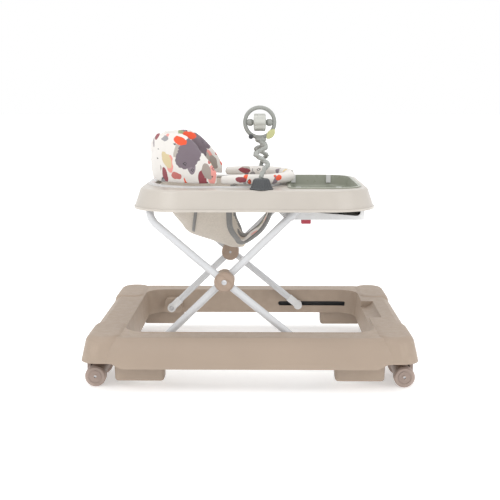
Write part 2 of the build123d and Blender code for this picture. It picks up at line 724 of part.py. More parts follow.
# ------------------------------------------------------------- toy bar
CUP_H = 23
with BuildPart() as cup:
    with BuildSketch(Plane(origin=(CUP_X, -CUP_Y, TRAY_TOP), x_dir=(1, 0, 0), z_dir=(0, -1, 0))):
        with BuildLine():
            Polyline((0, 0), (25, 0), (25, 3), (16.5, CUP_H - 2), (14.5, CUP_H), (0, CUP_H),
                     close=True)
        make_face()
    revolve(axis=Axis((CUP_X, -CUP_Y, 0), (0, 0, 1)))
save_sides(cup.part, "toy_cup")

STEM_R = 3.6
with BuildPart() as stem:
    with BuildLine() as wave:
        FilletPolyline((CUP_X, -CUP_Y, TRAY_TOP + CUP_H), (CUP_X, -CUP_Y, 450), (40, -160, 463),
                       (5, -108, 481), (37, -58, 493), (24, -21.4, 503), radius=9)
    with BuildSketch(Plane(origin=wave.line @ 0, z_dir=wave.line % 0)):
        Circle(STEM_R)
    sweep()
save_sides(stem.part, "toy_stem")

toy_side = side_plane((TOY_X, TOY_Z), 0)
with BuildPart() as toy_body:
    with BuildSketch(Plane(origin=(TOY_X + HOOP_R, 0, TOY_Z), z_dir=(0, 0, 1))):
        Circle(HOOP_TUBE)
    revolve(axis=Axis((TOY_X, 0, TOY_Z), (0, 1, 0)))
    # Saddle that joins the two stems under the hoop.
    with Locations((TOY_X + 2, 0, 507)):
        Box(26, 40, 14)
    fillet(toy_body.edges().filter_by(Axis.Z), 6)
save(toy_body.part, "toy_hoop")

TOY_AXLE_R = 2
toy_axis = Plane(origin=(TOY_X, 0, TOY_Z), z_dir=(1, 0, 0))
with BuildPart() as toy_axle:
    with BuildSketch(toy_axis):
        Circle(TOY_AXLE_R)
    extrude(amount=HOOP_R - HOOP_TUBE - 0.2, both=True)
save(toy_axle.part, "toy_axle")

DRUM_HALF = 13.5
with BuildPart() as drum:
    with BuildSketch(toy_axis):
        RegularPolygon(19, 8)
        Circle(TOY_AXLE_R + RUNNING, mode=Mode.SUBTRACT)
    extrude(amount=DRUM_HALF, both=True)
    fillet(drum.edges().filter_by(Axis.X).sort_by(Axis.Z)[-4:], 1.5)
save(drum.part, "toy_drum")

BEAD_R = 7.8
for name, side in (("front", 1), ("rear", -1)):
    with BuildPart() as bead:
        with Locations((TOY_X + side * (DRUM_HALF + 0.5 + BEAD_R), 0, TOY_Z)):
            Sphere(BEAD_R)
        with BuildSketch(toy_axis):
            Circle(TOY_AXLE_R + RUNNING)
        extrude(amount=40, both=True, mode=Mode.SUBTRACT)
    save(bead.part, f"toy_bead_{name}")

with BuildPart() as leaves:
    for side in (-1, 1):
        with BuildSketch(side_plane((TOY_X + side * 26, 514), -HOOP_TUBE - 2.2)):
            Ellipse(12, 6.5, rotation=side * 35)
        extrude(amount=1.5, both=True)
save(leaves.part, "toy_leaves")
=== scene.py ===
import json
import math
import bmesh
import bpy
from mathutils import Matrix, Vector, noise


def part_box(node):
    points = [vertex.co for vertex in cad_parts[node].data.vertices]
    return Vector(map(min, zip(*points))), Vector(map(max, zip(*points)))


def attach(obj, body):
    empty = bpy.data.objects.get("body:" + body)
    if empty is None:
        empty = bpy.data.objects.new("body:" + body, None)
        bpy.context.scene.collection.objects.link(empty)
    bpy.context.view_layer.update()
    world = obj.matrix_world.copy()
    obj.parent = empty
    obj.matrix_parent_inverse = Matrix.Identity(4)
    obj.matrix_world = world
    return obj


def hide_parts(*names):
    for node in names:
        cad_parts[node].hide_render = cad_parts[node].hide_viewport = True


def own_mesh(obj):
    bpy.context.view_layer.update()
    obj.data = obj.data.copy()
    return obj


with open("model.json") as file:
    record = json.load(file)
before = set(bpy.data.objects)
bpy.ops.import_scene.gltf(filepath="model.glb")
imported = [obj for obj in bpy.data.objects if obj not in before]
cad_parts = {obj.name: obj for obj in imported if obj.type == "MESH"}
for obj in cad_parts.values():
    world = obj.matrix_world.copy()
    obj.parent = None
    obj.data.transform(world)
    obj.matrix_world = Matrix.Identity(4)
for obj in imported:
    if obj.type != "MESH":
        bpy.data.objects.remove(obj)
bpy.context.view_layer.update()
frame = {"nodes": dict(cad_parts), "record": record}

MM = 0.001


# ------------------------------------------------------------ materials
def linear(srgb):
    """An sRGB colour, 0 to 255, as linear RGBA."""
    return tuple((c / 255 / 12.92) if c <= 10 else ((c / 255 + 0.055) / 1.055) ** 2.4
                 for c in srgb) + (1.0,)


class Shader:
    """A small helper round one material's node tree."""

    def __init__(self, name, **constants):
        self.material = bpy.data.materials.new(name)
        self.material.use_nodes = True
        self.tree = self.material.node_tree
        self.surface = self.tree.nodes["Principled BSDF"]
        for socket, value in constants.items():
            self.surface.inputs[socket.replace("_", " ")].default_value = value
        self.place = self.add("ShaderNodeTexCoord").outputs["Object"]

    def add(self, kind, **settings):
        node = self.tree.nodes.new(kind)
        for key, value in settings.items():
            setattr(node, key, value)
        return node

    def link(self, source, target):
        self.tree.links.new(source, target)

    def noise(self, scale, detail=2.0, distortion=0.0, where=None):
        node = self.add("ShaderNodeTexNoise")
        node.inputs["Scale"].default_value = scale
        node.inputs["Detail"].default_value = detail
        node.inputs["Distortion"].default_value = distortion
        self.link(where or self.place, node.inputs["Vector"])
        return node.outputs["Fac"]

    def span(self, value, low, high, from_low=0.3, from_high=0.7):
        node = self.add("ShaderNodeMapRange")
        node.inputs["From Min"].default_value = from_low
        node.inputs["From Max"].default_value = from_high
        node.inputs["To Min"].default_value = low
        node.inputs["To Max"].default_value = high
        self.link(value, node.inputs["Value"])
        return node.outputs["Result"]

    def math(self, operation, a, b):
        node = self.add("ShaderNodeMath", operation=operation)
        for socket, value in zip(node.inputs, (a, b)):
            if isinstance(value, (int, float)):
                socket.default_value = value
            else:
                self.link(value, socket)
        return node.outputs[0]

    def mix(self, factor, a, b):
        node = self.add("ShaderNodeMix", data_type="RGBA")
        for socket, value in ((node.inputs[0], factor), (node.inputs[6], a), (node.inputs[7], b)):
            if isinstance(value, (int, float, tuple)):
                socket.default_value = value
            else:
                self.link(value, socket)
        return node.outputs[2]

    def bump(self, height, strength, distance, under=None):
        node = self.add("ShaderNodeBump")
        node.inputs["Strength"].default_value = strength
        node.inputs["Distance"].default_value = distance
        self.link(height, node.inputs["Height"])
        if under:
            self.link(under, node.inputs["Normal"])
        return node.outputs["Normal"]


def plastic(name, srgb, rough=0.42, grain=0.25, coat=0.0, wear=0.06):
    """Moulded plastic: fine spark-eroded grain, slow colour drift and rubbed edges."""
    s = Shader(name, Coat_Weight=coat, Coat_Roughness=0.25)
    base = linear(srgb)
    deep = tuple(c * 0.93 for c in base[:3]) + (1.0,)
    worn = tuple(min(1.0, c * 1.25 + 0.02) for c in base[:3]) + (1.0,)
    drift = s.mix(s.span(s.noise(9.0, 3.0), 0.0, 1.0), deep, base)
    point = s.add("ShaderNodeNewGeometry").outputs["Pointiness"]
    edge = s.math("MULTIPLY", s.span(point, 0.0, 1.0, 0.52, 0.58),
                  s.span(s.noise(45.0, 4.0), 0.0, wear * 6))
    s.link(s.mix(edge, drift, worn), s.surface.inputs["Base Color"])
    s.link(s.span(s.noise(70.0, 4.0), rough - 0.06, rough + 0.07), s.surface.inputs["Roughness"])
    s.link(s.bump(s.noise(1400.0, 2.0), grain, 0.0003), s.surface.inputs["Normal"])
    return s.material


def painted_steel(name, srgb):
    """Powder-coated tube: orange peel under a soft gloss."""
    s = Shader(name, Coat_Weight=0.35, Coat_Roughness=0.15)
    base = linear(srgb)
    s.link(s.mix(s.span(s.noise(14.0, 3.0), 0.0, 1.0), tuple(c * 0.95 for c in base[:3]) + (1.0,),
                 base), s.surface.inputs["Base Color"])
    s.link(s.span(s.noise(120.0, 3.0), 0.27, 0.4), s.surface.inputs["Roughness"])
    s.link(s.bump(s.noise(420.0, 1.0), 0.2, 0.0004), s.surface.inputs["Normal"])
    return s.material


def bare_steel(name):
    s = Shader(name, Metallic=1.0)
    s.link(s.mix(s.span(s.noise(160.0, 4.0), 0.0, 1.0), (0.42, 0.42, 0.43, 1), (0.62, 0.62, 0.63, 1)),
           s.surface.inputs["Base Color"])
    s.link(s.span(s.noise(300.0, 4.0), 0.22, 0.42), s.surface.inputs["Roughness"])
    s.link(s.bump(s.noise(900.0, 2.0), 0.2, 0.0002), s.surface.inputs["Normal"])
    return s.material


def weave(s, pitch=0.0011, strength=0.5):
    """Plain weave: two crossed bands of threads, over soft creases."""
    bands = []
    for axis in ("X", "Z"):
        wave = s.add("ShaderNodeTexWave", bands_direction=axis)
        wave.inputs["Scale"].default_value = 0.314 / pitch
        wave.inputs["Distortion"].default_value = 0.4
        s.link(s.place, wave.inputs["Vector"])
        bands.append(wave.outputs["Fac"])
    crease = s.bump(s.noise(26.0, 3.0, 0.6), 0.35, 0.004)
    return s.bump(s.math("ADD", bands[0], bands[1]), strength, 0.0003, under=crease)


def plain_fabric(name, srgb, rough=0.85):
    s = Shader(name, Sheen_Weight=0.25, Sheen_Roughness=0.5)
    base = linear(srgb)
    s.link(s.mix(s.span(s.noise(300.0, 3.0), 0.0, 1.0), tuple(c * 0.88 for c in base[:3]) + (1.0,),
                 base), s.surface.inputs["Base Color"])
    s.link(s.span(s.noise(90.0, 2.0), rough - 0.06, rough + 0.06), s.surface.inputs["Roughness"])
    s.link(weave(s), s.surface.inputs["Normal"])
    return s.material


GROUND = (222, 218, 213)    # the printed cloth's off-white

# Colours of the small print shapes, each with the share of shapes below it.
PRINT = ((0.00, GROUND), (0.24, (132, 120, 128)), (0.38, (226, 84, 44)), (0.49, (176, 168, 160)),
         (0.58, (226, 150, 142)), (0.66, (140, 66, 74)), (0.74, (150, 148, 150)),
         (0.83, (150, 160, 120)), (0.89, (222, 186, 84)), (0.93, GROUND))


# Shapes printed on the sides: (x, z, half width, half height, turn in degrees, colour), in mm.
SIDE_SHAPES = ((-130, 486, 25, 42, 38, (116, 104, 112)), (-150, 511, 14, 10, 15, (232, 84, 48)),
               (-205, 443, 10, 24, 8, (160, 150, 142)), (-92, 446, 9, 18, -20, (160, 150, 142)),
               (-84, 470, 5, 9, 30, (190, 110, 105)), (-221, 492, 6, 13, 0, (190, 110, 105)),
               (-182, 470, 9, 19, -28, (206, 190, 150)), (-188, 516, 10, 6, 20, (150, 148, 150)),
               (-160, 435, 13, 8, 10, (190, 110, 105)), (-18, 428, 13, 6, 8, (140, 66, 74)),
               (62, 430, 7, 6, 0, (232, 84, 48)), (84, 424, 8, 5, 25, (190, 110, 105)))


def printed_fabric(name):
    """Off-white cotton with an abstract print of leaf and stone shapes."""
    s = Shader(name, Sheen_Weight=0.2, Sheen_Roughness=0.5)
    warp = s.add("ShaderNodeTexNoise")
    warp.inputs["Scale"].default_value = 16.0
    warp.inputs["Detail"].default_value = 1.5
    s.link(s.place, warp.inputs["Vector"])
    shift = s.add("ShaderNodeVectorMath", operation="MULTIPLY_ADD")
    s.link(warp.outputs["Color"], shift.inputs[0])
    shift.inputs[1].default_value = (0.03, 0.03, 0.03)
    s.link(s.place, shift.inputs[2])
    colour = None
    for turn, scale, size, offset in ((0.5, 33.0, 0.42, 0.0), (-0.7, 50.0, 0.34, 0.4)):
        lay = s.add("ShaderNodeMapping")
        lay.inputs["Rotation"].default_value = (0.2, turn, 0.3)
        lay.inputs["Scale"].default_value = (1.25, 0.8, 0.55)
        lay.inputs["Location"].default_value = (offset, offset, offset)
        s.link(shift.outputs[0], lay.inputs["Vector"])
        cells = s.add("ShaderNodeTexVoronoi")
        cells.inputs["Scale"].default_value = scale
        s.link(lay.outputs[0], cells.inputs["Vector"])
        pick = s.add("ShaderNodeSeparateColor")
        s.link(cells.outputs["Color"], pick.inputs[0])
        ramp = s.add("ShaderNodeValToRGB")
        ramp.color_ramp.interpolation = "CONSTANT"
        for index, (position, srgb) in enumerate(PRINT):
            stops = ramp.color_ramp.elements
            stop = stops[0] if index == 0 else stops.new(position)
            if index == 0:
                stops.remove(stops[1])
            stop.position = position
            stop.color = linear(srgb)
        s.link(pick.outputs[0], ramp.inputs[0])
        inside = s.math("LESS_THAN", cells.outputs["Distance"], size)
        shown = inside if colour is None else s.math(
            "MULTIPLY", inside, s.math("GREATER_THAN", pick.outputs[1], 0.45))
        colour = s.mix(shown, colour or linear(GROUND), ramp.outputs[0])
    # The sides carry larger shapes in set places over the small ones.
    axes = s.add("ShaderNodeSeparateXYZ")
    s.link(s.place, axes.inputs[0])
    on_side = s.math("GREATER_THAN", s.math("ABSOLUTE", axes.outputs[1], 0.0), 0.105)
    ragged = s.span(s.noise(55.0, 2.0), -0.22, 0.22)
    side_colour = colour
    for x, z, wide, tall, turn, srgb in SIDE_SHAPES:
        lay = s.add("ShaderNodeMapping", vector_type="TEXTURE")
        lay.inputs["Location"].default_value = (x * MM, 0, z * MM)
        lay.inputs["Rotation"].default_value = (0, math.radians(turn), 0)
        lay.inputs["Scale"].default_value = (wide * MM, 1000, tall * MM)
        s.link(s.place, lay.inputs["Vector"])
        far = s.add("ShaderNodeVectorMath", operation="LENGTH")
        s.link(lay.outputs[0], far.inputs[0])
        inside = s.math("LESS_THAN", s.math("ADD", far.outputs["Value"], ragged), 1.0)
        side_colour = s.mix(inside, side_colour, linear(srgb))
    colour = s.mix(on_side, colour, side_colour)
    # Small dark twigs in pairs.
    sprig = s.add("ShaderNodeTexVoronoi", distance="MANHATTAN")
    sprig.inputs["Scale"].default_value = 62.0
    s.link(shift.outputs[0], sprig.inputs["Vector"])
    pick = s.add("ShaderNodeSeparateColor")
    s.link(sprig.outputs["Color"], pick.inputs[0])
    ring = s.math("MULTIPLY", s.math("GREATER_THAN", sprig.outputs["Distance"], 0.26),
                  s.math("LESS_THAN", sprig.outputs["Distance"], 0.38))
    dark = s.math("MULTIPLY", ring, s.math("GREATER_THAN", pick.outputs[1], 0.78))
    s.link(s.mix(dark, colour, linear((70, 66, 70))), s.surface.inputs["Base Color"])
    s.link(s.span(s.noise(90.0, 2.0), 0.76, 0.88), s.surface.inputs["Roughness"])
    s.link(weave(s), s.surface.inputs["Normal"])
    return s.material


MATERIALS = {
    "base_taupe": plastic("base_taupe", (160, 143, 127), rough=0.5, grain=0.45),
    "tray_beige": plastic("tray_beige", (186, 179, 170), rough=0.34, grain=0.12, coat=0.25),
    "play_sage": plastic("play_sage", (146, 149, 135), rough=0.32, grain=0.12, coat=0.25),
    "white_steel": painted_steel("white_steel", (200, 201, 203)),
    "white_plastic": plastic("white_plastic", (212, 212, 212), rough=0.4),
    "hub_taupe": plastic("hub_taupe", (158, 138, 122), rough=0.5, grain=0.4),
    "steel": bare_steel("steel"),
    "wheel": plastic("wheel", (158, 140, 130), rough=0.5, grain=0.5, wear=0.12),
    "light_grey": plastic("light_grey", (212, 212, 212), rough=0.42),
    "button_red": plastic("button_red", (160, 16, 48), rough=0.3, grain=0.1, coat=0.4),
    "charcoal": plastic("charcoal", (66, 68, 70), rough=0.45, grain=0.5, wear=0.1),
    "toy_grey": plastic("toy_grey", (150, 152, 147), rough=0.38, grain=0.2),
    "toy_white": plastic("toy_white", (190, 191, 184), rough=0.3, grain=0.1, coat=0.3),
    "toy_leaf": plastic("toy_leaf", (196, 197, 142), rough=0.4),
    "fabric_plain": plain_fabric("fabric_plain", (204, 195, 183)),
    "fabric_print": printed_fabric("fabric_print"),
    "binding": plain_fabric("binding_grey", (128, 127, 125), rough=0.8),
}

for entry in frame["record"]["subparts"]:
    data = frame["nodes"][entry["node"]].data
    data.materials.clear()
    data.materials.append(MATERIALS[entry["material_slot"]])


# ----------------------------------------------------------- mesh tools
def mesh_piece(name, rows, material, body, close_rows=False, caps=True):
    """A smooth mesh through rows of points, each row a closed loop."""
    bm = bmesh.new()
    grid = [[bm.verts.new(p) for p in row] for row in rows]
    count = len(rows)
    for i in range(count if close_rows else count - 1):
        a, b = grid[i], grid[(i + 1) % count]
        for j in range(len(a)):
            k = (j + 1) % len(a)
            bm.faces.new((a[j], a[k], b[k], b[j]))
    if caps and not close_rows:
        bm.faces.new(list(reversed(grid[0])))
        bm.faces.new(grid[-1])
    bmesh.ops.recalc_face_normals(bm, faces=bm.faces)
    for face in bm.faces:
        face.smooth = True
    data = bpy.data.meshes.new(name)
    bm.to_mesh(data)
    bm.free()
    piece = bpy.data.objects.new(name, data)
    bpy.context.scene.collection.objects.link(piece)
    data.materials.append(MATERIALS[material])
    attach(piece, body)
    return piece


def smooth_path(points, steps=8, closed=False):
    """A Catmull-Rom curve through the points."""
    count = len(points)
    result = []
    for i in range(count if closed else count - 1):
        if closed:
            a, b, c, d = (points[(i + k) % count] for k in (-1, 0, 1, 2))
        else:
            a, b = points[max(i - 1, 0)], points[i]
            c, d = points[i + 1], points[min(i + 2, count - 1)]
        for k in range(steps):
            t = k / steps
            result.append(0.5 * (2 * b + (c - a) * t + (2 * a - 5 * b + 4 * c - d) * t * t
                                 + (3 * b - a - 3 * c + d) * t ** 3))
    if not closed:
        result.append(points[-1])
    return result


def tube_rows(path, radius, sides=16, closed=False):
    """Rings round a path; radius is a function of (index, angle)."""
    rows = []
    side = None
    count = len(path)
    for i, point in enumerate(path):
        ahead = path[(i + 1) % count] if closed else path[min(i + 1, count - 1)]
        behind = path[i - 1] if closed else path[max(i - 1, 0)]
        tangent = (ahead - behind).normalized()
        if side is None:
            side = tangent.orthogonal().normalized()
        side = (side - tangent * side.dot(tangent)).normalized()
        up = tangent.cross(side)
        rows.append([point + (side * math.cos(a) + up * math.sin(a)) * radius(i, a)
                     for a in (2 * math.pi * j / sides for j in range(sides))])
    return rows


def rounded_plan(rear, front, half, radius, count):
    """Points evenly round a rounded rectangle in plan, as (x, y, outward normal)."""
    straight_x = front - rear - 2 * radius
    straight_y = 2 * half - 2 * radius
    arc = math.pi * radius / 2
    total = 2 * (straight_x + straight_y) + 4 * arc
    plan = []
    for i in range(count):
        d = total * i / count
        runs = ((straight_x, (rear + radius, -half), (1, 0), None),
                (arc, (front - radius, -half + radius), None, -90),
                (straight_y, (front, -half + radius), (0, 1), None),
                (arc, (front - radius, half - radius), None, 0),
                (straight_x, (front - radius, half), (-1, 0), None),
                (arc, (rear + radius, half - radius), None, 90),
                (straight_y, (rear, half - radius), (0, -1), None),
                (arc, (rear + radius, -half + radius), None, 180))
        for length, start, direction, angle in runs:
            if d <= length:
                break
            d -= length
        if angle is None:
            plan.append((start[0] + direction[0] * d, start[1] + direction[1] * d,
                         Vector((direction[1], -direction[0], 0))))
        else:
            a = math.radians(angle) + d / radius
            out = Vector((math.cos(a), math.sin(a), 0))
            plan.append((start[0] + out.x * radius, start[1] + out.y * radius, out))
    return plan


def table_value(table, x):
    """Straight-line interpolation in a short table of (x, value)."""
    if x <= table[0][0]:
        return table[0][1]
    for (x0, v0), (x1, v1) in zip(table, table[1:]):
        if x <= x1:
            t = (x - x0) / (x1 - x0)
            return v0 + (v1 - v0) * t
    return table[-1][1]


def puff(piece, voxel, pressure, cap):
    """Swells a pad with cloth and air pressure, no point moving further than cap."""
    remesh = piece.modifiers.new("remesh", "REMESH")
    remesh.mode = "VOXEL"
    remesh.voxel_size = voxel
    depsgraph = bpy.context.evaluated_depsgraph_get()
    data = bpy.data.meshes.new_from_object(piece.evaluated_get(depsgraph))
    piece.modifiers.clear()
    material = piece.data.materials[0]
    piece.data = data
    data.materials.clear()
    data.materials.append(material)
    rest = [v.co.copy() for v in data.vertices]
    cloth = piece.modifiers.new("cloth", "CLOTH")
    cloth.settings.use_pressure = True
    cloth.settings.uniform_pressure_force = pressure
    cloth.settings.tension_stiffness = 25
    cloth.settings.compression_stiffness = 25
    cloth.settings.effector_weights.gravity = 0
    for number in range(1, 21):
        bpy.context.scene.frame_set(number)
    depsgraph = bpy.context.evaluated_depsgraph_get()
    swollen = piece.evaluated_get(depsgraph).to_mesh()
    moved = [v.co.copy() for v in swollen.vertices]
    piece.evaluated_get(depsgraph).to_mesh_clear()
    piece.modifiers.clear()
    for vertex, start, end in zip(data.vertices, rest, moved):
        step = end - start
        vertex.co = start + step * min(1.0, cap / max(step.length, 1e-9))
    for face in data.polygons:
        face.use_smooth = True
    bpy.context.scene.frame_set(1)


def crease(piece, amount, scale):
    """Soft hand-made folds: each point moves along its normal with slow noise."""
    for vertex in piece.data.vertices:
        value = noise.noise(vertex.co * scale) + 0.5 * noise.noise(vertex.co * scale * 2.3)
        vertex.co += vertex.normal * value * amount


def soften(piece, levels=1):
    piece.modifiers.new("soften", "SUBSURF").levels = levels
    piece.modifiers["soften"].render_levels = levels


# ------------------------------------------------------------- the seat
BACK = [v / MM for v in (*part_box("backrest_pad")[0], *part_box("backrest_pad")[1])]
COLLAR = [v / MM for v in (*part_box("collar_pad")[0], *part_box("collar_pad")[1])]
POUCH = [v / MM for v in (*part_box("seat_pouch")[0], *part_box("seat_pouch")[1])]
WING = BACK[3]

PAD_THICK = 25
COLLAR_WIDE = 35
BACK_RADIUS = 118       # the pads' corners in plan
COLLAR_RADIUS = 128

# Height of the backrest's top edge along X, from the rear forwards.
BACK_PROFILE = ((BACK[0], 520), (-215, 530), (-200, 532), (-168, 531), (-148, 528), (-130, 519),
                (-111, 505), (-93, 487), (-77, 464), (WING, 443))


def u_path(rear, half, radius, front, count):
    """Stations round the back of the seat, from the right wing to the left one."""
    plan = rounded_plan(rear, front + 400, half, radius, 2400)
    stations = [p for p in plan if p[0] <= front]
    right = sorted((p for p in stations if p[1] <= 0), key=lambda p: (-p[0], p[1]))
    left = sorted((p for p in stations if p[1] > 0), key=lambda p: (p[0], p[1]))
    line = right + left
    return [line[round(i * (len(line) - 1) / (count - 1))] for i in range(count)]


def backrest_rows(shrink):
    stations = u_path(BACK[0], -BACK[1], BACK_RADIUS, WING, 90)
    rows = []
    for i, (x, y, out) in enumerate(stations):
        t = i / (len(stations) - 1)
        top = table_value(BACK_PROFILE, x) - shrink
        low = BACK[2] + shrink
        tip = min(1.0, 0.35 + 6 * min(t, 1 - t))
        # Sewn channels pinch the pad between the wings and the back panel.
        pinch = 1 - 0.45 * sum(math.exp(-((t - seam) / 0.012) ** 2)
                               for seam in (0.24, 0.40, 0.60, 0.76))
        thick = PAD_THICK * tip * (0.55 + 0.45 * pinch)
        row = []
        for k in range(30):
            a = 2 * math.pi * k / 30
            across = math.copysign(abs(math.cos(a)) ** 0.55, math.cos(a))
            along = math.copysign(abs(math.sin(a)) ** 0.55, math.sin(a))
            high = 0.5 + 0.5 * along
            waist = 1 - 0.18 * (2 * high - 1) ** 2
            inward = thick * (0.5 - 0.5 * across * waist) + shrink * across
            point = Vector((x, y, low + (top - low) * high)) - out * inward
            row.append(point * MM)
        rows.append(row)
    return rows


backrest = mesh_piece("backrest_cushion", backrest_rows(2.5),
                      "fabric_print", "tray")
puff(backrest, 0.005, 4.0, 0.005)
crease(backrest, 0.0012, 28)
soften(backrest)
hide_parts("backrest_pad")


def collar_rows(shrink):
    plan = rounded_plan(COLLAR[0] - 170, COLLAR[3], -COLLAR[1], COLLAR_RADIUS, 400)
    front = [p for p in plan if p[0] >= COLLAR[0] + 1]
    right = sorted((p for p in front if p[1] <= 0), key=lambda p: (p[0], p[1]))
    left = sorted((p for p in front if p[1] > 0), key=lambda p: (-p[0], p[1]))
    line = right + left
    line = [line[round(i * (len(line) - 1) / 79)] for i in range(80)]
    rows = []
    for i, (x, y, out) in enumerate(line):
        t = i / 79
        tip = min(1.0, 0.55 + 7 * min(t, 1 - t))
        pinch = 1 - 0.3 * sum(math.exp(-((t - seam) / 0.012) ** 2) for seam in (0.2, 0.5, 0.8))
        wide = (COLLAR_WIDE - 2 * shrink) * tip * (0.7 + 0.3 * pinch)
        tall = (COLLAR[5] - COLLAR[2] - 2 * shrink) * (0.75 + 0.25 * tip) * (0.8 + 0.2 * pinch)
        row = []
        for k in range(24):
            a = 2 * math.pi * k / 24
            across = math.copysign(abs(math.cos(a)) ** 0.75, math.cos(a))
            along = math.copysign(abs(math.sin(a)) ** 0.75, math.sin(a))
            point = (Vector((x, y, COLLAR[2] + shrink + tall * (0.5 + 0.5 * along)))
                     - out * (COLLAR_WIDE / 2 - 0.5 * wide * across))
            row.append(point * MM)
        rows.append(row)
    return rows


collar = mesh_piece("collar_cushion", collar_rows(2.0),
                    "fabric_print", "tray")
puff(collar, 0.005, 4.0, 0.004)
crease(collar, 0.001, 34)
soften(collar)
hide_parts("collar_pad")

# The hanging pouch: outlines from the rim down, as (height, rear, front, half width, radius).
POUCH_TOP = POUCH[5]
POUCH_LOW = POUCH[2]
LEVELS = ((POUCH_TOP, -208, 56, 144, 100), (365, -186, 49, 138, 88), (343, -175, 44, 131, 81),
          (322, -158, 35, 121, 73), (300, -139, 20, 100, 56), (284, -94, -2, 76, 36),
          (POUCH_LOW, -47, -16, 54, 13))
STRAP = 46              # half width of the strap between the legs
HOLE_TOP = 396          # upper edge of the leg holes


def outline_at(z):
    """The pouch's (rear, front, half, radius) at a height."""
    rows = sorted(LEVELS)
    z = min(max(z, rows[0][0]), rows[-1][0])
    for index in range(len(rows) - 1):
        if z <= rows[index + 1][0]:
            break
    a, b = rows[max(index - 1, 0)], rows[index]
    c, d = rows[index + 1], rows[min(index + 2, len(rows) - 1)]
    t = (z - b[0]) / (c[0] - b[0])
    values = []
    for i in range(1, 5):
        m0 = (c[i] - a[i]) / (c[0] - a[0]) * (c[0] - b[0])
        m1 = (d[i] - b[i]) / (d[0] - b[0]) * (c[0] - b[0])
        values.append((2 * t ** 3 - 3 * t ** 2 + 1) * b[i] + (t ** 3 - 2 * t ** 2 + t) * m0
                      + (3 * t ** 2 - 2 * t ** 3) * c[i] + (t ** 3 - t ** 2) * m1)
    return values


def side_y(x, z):
    """Half width of the pouch at (x, z), or None past its ends."""
    rear, front, half, radius = outline_at(z)
    if x < rear or x > front:
        return None
    past = max(rear + radius - x, x - (front - radius), 0)
    return half - radius + math.sqrt(max(radius ** 2 - past ** 2, 0))


def front_x(y, z):
    rear, front, half, radius = outline_at(z)
    past = max(abs(y) - (half - radius), 0)
    return front - radius + math.sqrt(max(radius ** 2 - past ** 2, 0))


LEG_HOLE = ((-46, HOLE_TOP), (-46, 358), (-44, 320), (-31, 294), (-18, 277), (40, 277), (90, 300))


def in_leg_hole(point):
    """Whether a point in millimetres lies in either leg hole."""
    if abs(point.y) < STRAP or point.z > HOLE_TOP:
        return False
    shape = LEG_HOLE + ((90, HOLE_TOP),)
    inside = False
    for (x0, z0), (x1, z1) in zip(shape, shape[1:] + shape[:1]):
        if (z0 > point.z) != (z1 > point.z):
            if point.x < (x1 - x0) * (point.z - z0) / (z1 - z0) + x0:
                inside = not inside
    return inside


pouch_rows = []
for i in range(48):
    z = POUCH_TOP + (POUCH_LOW - POUCH_TOP) * i / 47
    rear, front, half, radius = outline_at(z)
    pouch_rows.append([Vector((x, y, z)) * MM
                       for x, y, _ in rounded_plan(rear, front, half, radius, 240)])
rear, front, half, radius = outline_at(POUCH_LOW)
for shrink in (0.8, 0.5, 0.2, 0.02):
    middle = (rear + front) / 2
    pouch_rows.append([Vector((middle + (x - middle) * shrink, y * shrink, POUCH_LOW)) * MM
                       for x, y, _ in rounded_plan(rear, front, half, radius, 240)])
pouch = mesh_piece("seat_pouch_fabric", pouch_rows, "fabric_plain", "tray", caps=False)
pouch.data.materials.append(MATERIALS["fabric_print"])
bm = bmesh.new()
bm.from_mesh(pouch.data)
holes = [f for f in bm.faces if in_leg_hole(f.calc_center_median() / MM)]
bmesh.ops.delete(bm, geom=holes, context="FACES")
for face in bm.faces:
    centre = face.calc_center_median() / MM
    # The strap between the legs is cut from the printed cloth.
    if centre.x > -30 and abs(centre.y) < STRAP + 3 and centre.z < HOLE_TOP:
        face.material_index = 1
bm.to_mesh(pouch.data)
bm.free()
for vertex in pouch.data.vertices:
    point = vertex.co / MM
    hang = math.sin(math.pi * min(max((point.z - POUCH_LOW) / (POUCH_TOP - POUCH_LOW), 0), 1))
    fold = noise.noise(Vector((point.x * 0.018, point.y * 0.018, point.z * 0.006)))
    vertex.co -= vertex.normal * MM * (1.2 * hang + 1.6 * hang * abs(fold))
thick = pouch.modifiers.new("cloth_thickness", "SOLIDIFY")
thick.thickness = 0.0016
thick.offset = -1
thick.material_offset = 0
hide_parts("seat_pouch")


def band(name, path, normals, width, thickness, closed=False):
    """A flat sewn band that follows a path on a surface."""
    rows = []
    count = len(path)
    for i, (point, normal) in enumerate(zip(path, normals)):
        ahead = path[(i + 1) % count] if closed else path[min(i + 1, count - 1)]
        behind = path[i - 1] if closed else path[max(i - 1, 0)]
        tangent = (ahead - behind).normalized()
        across = tangent.cross(normal).normalized()
        up = across.cross(tangent)
        row = []
        for k in range(12):
            a = 2 * math.pi * k / 12
            c = math.copysign(abs(math.cos(a)) ** 0.5, math.cos(a))
            s = math.copysign(abs(math.sin(a)) ** 0.7, math.sin(a))
            row.append((point + across * c * width / 2 + up * s * thickness / 2) * MM)
        rows.append(row)
    return mesh_piece(name, rows, "binding", "tray", close_rows=closed)


